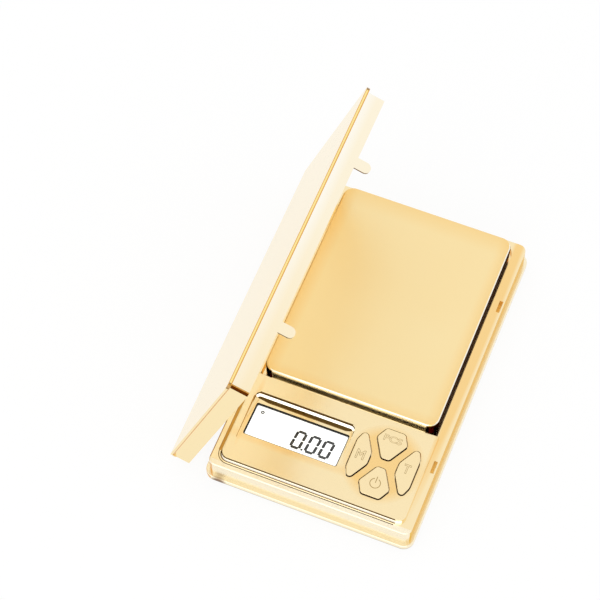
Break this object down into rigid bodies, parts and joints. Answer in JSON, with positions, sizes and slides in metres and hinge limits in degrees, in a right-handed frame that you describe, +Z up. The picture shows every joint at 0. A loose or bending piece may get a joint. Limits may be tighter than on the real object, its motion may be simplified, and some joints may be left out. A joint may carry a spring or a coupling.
{
  "type": "digital pocket scale",
  "caption": "Flat battery scale: a hinged cover over a square weighing platform, a sloped display, round-set push buttons and a sliding battery door.",
  "frame": {"origin": "middle of the base tray's flat underside, 1 mm above the table the feet stand on", "axes": "+X from the hinge side to the latch side, +Y from the display to the back edge, +Z up"},
  "size_m": [0.089, 0.125, 0.0776],
  "materials": {
    "base_gold": "gold-plated plastic, mirror gloss",
    "case_gold": "gold-plated plastic, mirror gloss",
    "cover_gold": "gold-plated plastic, mirror gloss",
    "platform_gold": "gold-coloured satin steel",
    "key_gold": "gold-plated plastic",
    "door_gold": "gold-plated plastic",
    "carrier_plastic": "moulded black plastic",
    "steel": "zinc-plated steel",
    "pin_steel": "bright drawn steel",
    "cell_aluminium": "milled aluminium",
    "board_green": "glass-fibre board with green lacquer",
    "chip_black": "black potting resin",
    "switch_black": "black plastic",
    "lcd_white": "display glass with a white reflector",
    "connector_grey": "conductive silicone strip",
    "window_clear": "clear polished pane",
    "battery_jacket": "plain lacquered jacket",
    "contact_nickel": "nickel-plated spring steel",
    "foot_rubber": "soft matt rubber"
  },
  "bodies": {
    "base": {"base_tray": "base_gold", "top_case": "case_gold", "hinge_pins": "pin_steel", "load_cell": "cell_aluminium", "cell_screws": "steel", "overload_screw": "steel", "circuit_board": "board_green", "board_screws": "steel", "controller": "chip_black", "key_switches": "switch_black", "lcd_module": "lcd_white", "lcd_connector": "connector_grey", "lcd_window": "window_clear", "batteries": "battery_jacket", "battery_contacts": "contact_nickel", "case_screws": "steel", "feet": "foot_rubber"},
    "cover": {"cover": "cover_gold"},
    "platform": {"platform_tray": "platform_gold", "platform_carrier": "carrier_plastic", "carrier_screws": "steel"},
    "mode_key": {"button_mode": "key_gold"},
    "pieces_key": {"button_pieces": "key_gold"},
    "tare_key": {"button_tare": "key_gold"},
    "power_key": {"button_power": "key_gold"},
    "door": {"battery_door": "door_gold"}
  },
  "joints": [
    {"name": "cover_hinge", "type": "hinge", "parent": "base", "child": "cover", "pos_m": [-0.0355, 0, 0.0013], "axis": [0, -1, 0], "range_deg": [-71, 13]},
    {"name": "platform_press", "type": "slide", "parent": "base", "child": "platform", "axis": [0, 0, -1], "range_m": [0, 0.0004], "stiffness_N_per_m": 16000, "deforming": ["load_cell"]},
    {"name": "mode_press", "type": "slide", "parent": "base", "child": "mode_key", "axis": [0, 0, -1], "range_m": [0, 0.0005], "stiffness_N_per_m": 3000},
    {"name": "pieces_press", "type": "slide", "parent": "base", "child": "pieces_key", "axis": [0, 0, -1], "range_m": [0, 0.0005], "stiffness_N_per_m": 3000},
    {"name": "tare_press", "type": "slide", "parent": "base", "child": "tare_key", "axis": [0, 0, -1], "range_m": [0, 0.0005], "stiffness_N_per_m": 3000},
    {"name": "power_press", "type": "slide", "parent": "base", "child": "power_key", "axis": [0, 0, -1], "range_m": [0, 0.0005], "stiffness_N_per_m": 3000},
    {"name": "door_slide", "type": "slide", "parent": "base", "child": "door", "axis": [0, 1, 0], "range_m": [0, 0.022]}
  ]
}
